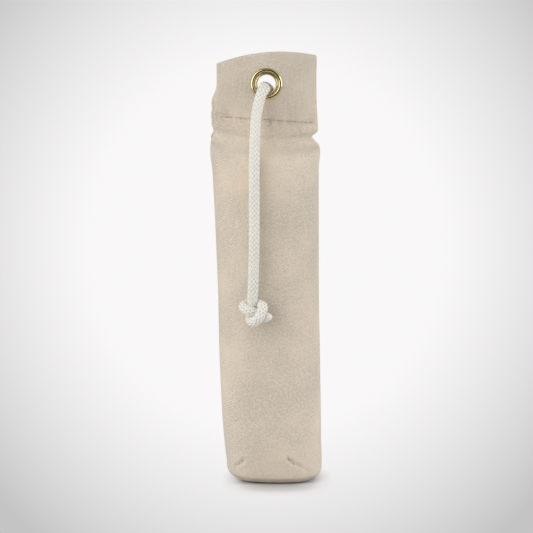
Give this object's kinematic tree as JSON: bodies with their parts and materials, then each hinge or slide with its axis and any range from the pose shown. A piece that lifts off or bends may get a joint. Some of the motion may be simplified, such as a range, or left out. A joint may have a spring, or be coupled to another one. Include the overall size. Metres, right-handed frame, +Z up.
{
  "type": "training bumper",
  "caption": "Standing canvas retrieving bumper: stuffed boxed body, flat layered tab with a brass eyelet, and a braided throw rope hanging from it to a hand knot.",
  "frame": {"origin": "middle of the base, on the surface that the bumper stands on", "axes": "+Z up along the stuffed body to the tab, front (the side that the throw rope hangs down) faces -Y, +X to the right as seen from the front"},
  "size_m": [0.0782, 0.0744, 0.305],
  "materials": {
    "canvas": "natural heavy cotton duck, plain weave, unbleached beige",
    "thread": "waxed sewing thread, matching beige",
    "foam": "closed-cell buoyant foam, hidden inside the canvas",
    "brass": "polished pressed sheet brass",
    "rope": "white diamond-braided rope, ends melted smooth"
  },
  "bodies": {
    "bumper": {"canvas_body": "canvas", "foam_core": "foam", "side_seam_allowance": "canvas", "dart_thread": "thread"},
    "tab": {"tab_front": "canvas", "facing_front": "canvas", "facing_back": "canvas", "tab_back": "canvas", "tuck_right": "canvas", "tuck_left": "canvas", "eyelet": "brass", "eyelet_washer": "brass", "closing_seam_thread": "thread"},
    "rope_bight": {"rope_back_leg": "rope", "rope_front_bend": "rope", "stopper_knot": "rope", "stopper_knot_end": "rope"},
    "rope_hang": {"rope_front_leg": "rope", "hand_knot": "rope", "hand_knot_end": "rope"}
  },
  "joints": [
    {"name": "tab_flex", "type": "hinge", "parent": "bumper", "child": "tab", "pos_m": [0, 0, 0.246], "axis": [-1, 0, 0], "range_deg": [0, 30], "stiffness_Nm_per_rad": 0.02},
    {"name": "rope_sway", "type": "hinge", "parent": "tab", "child": "rope_bight", "pos_m": [0, 0, 0.2824], "axis": [0, 1, 0], "range_deg": [-25, 25]},
    {"name": "rope_lift", "type": "hinge", "parent": "rope_bight", "child": "rope_hang", "pos_m": [-0.0024, -0.0106, 0.2801], "axis": [-1, 0, 0], "range_deg": [0, 150], "deforming": ["rope_front_bend"]}
  ]
}
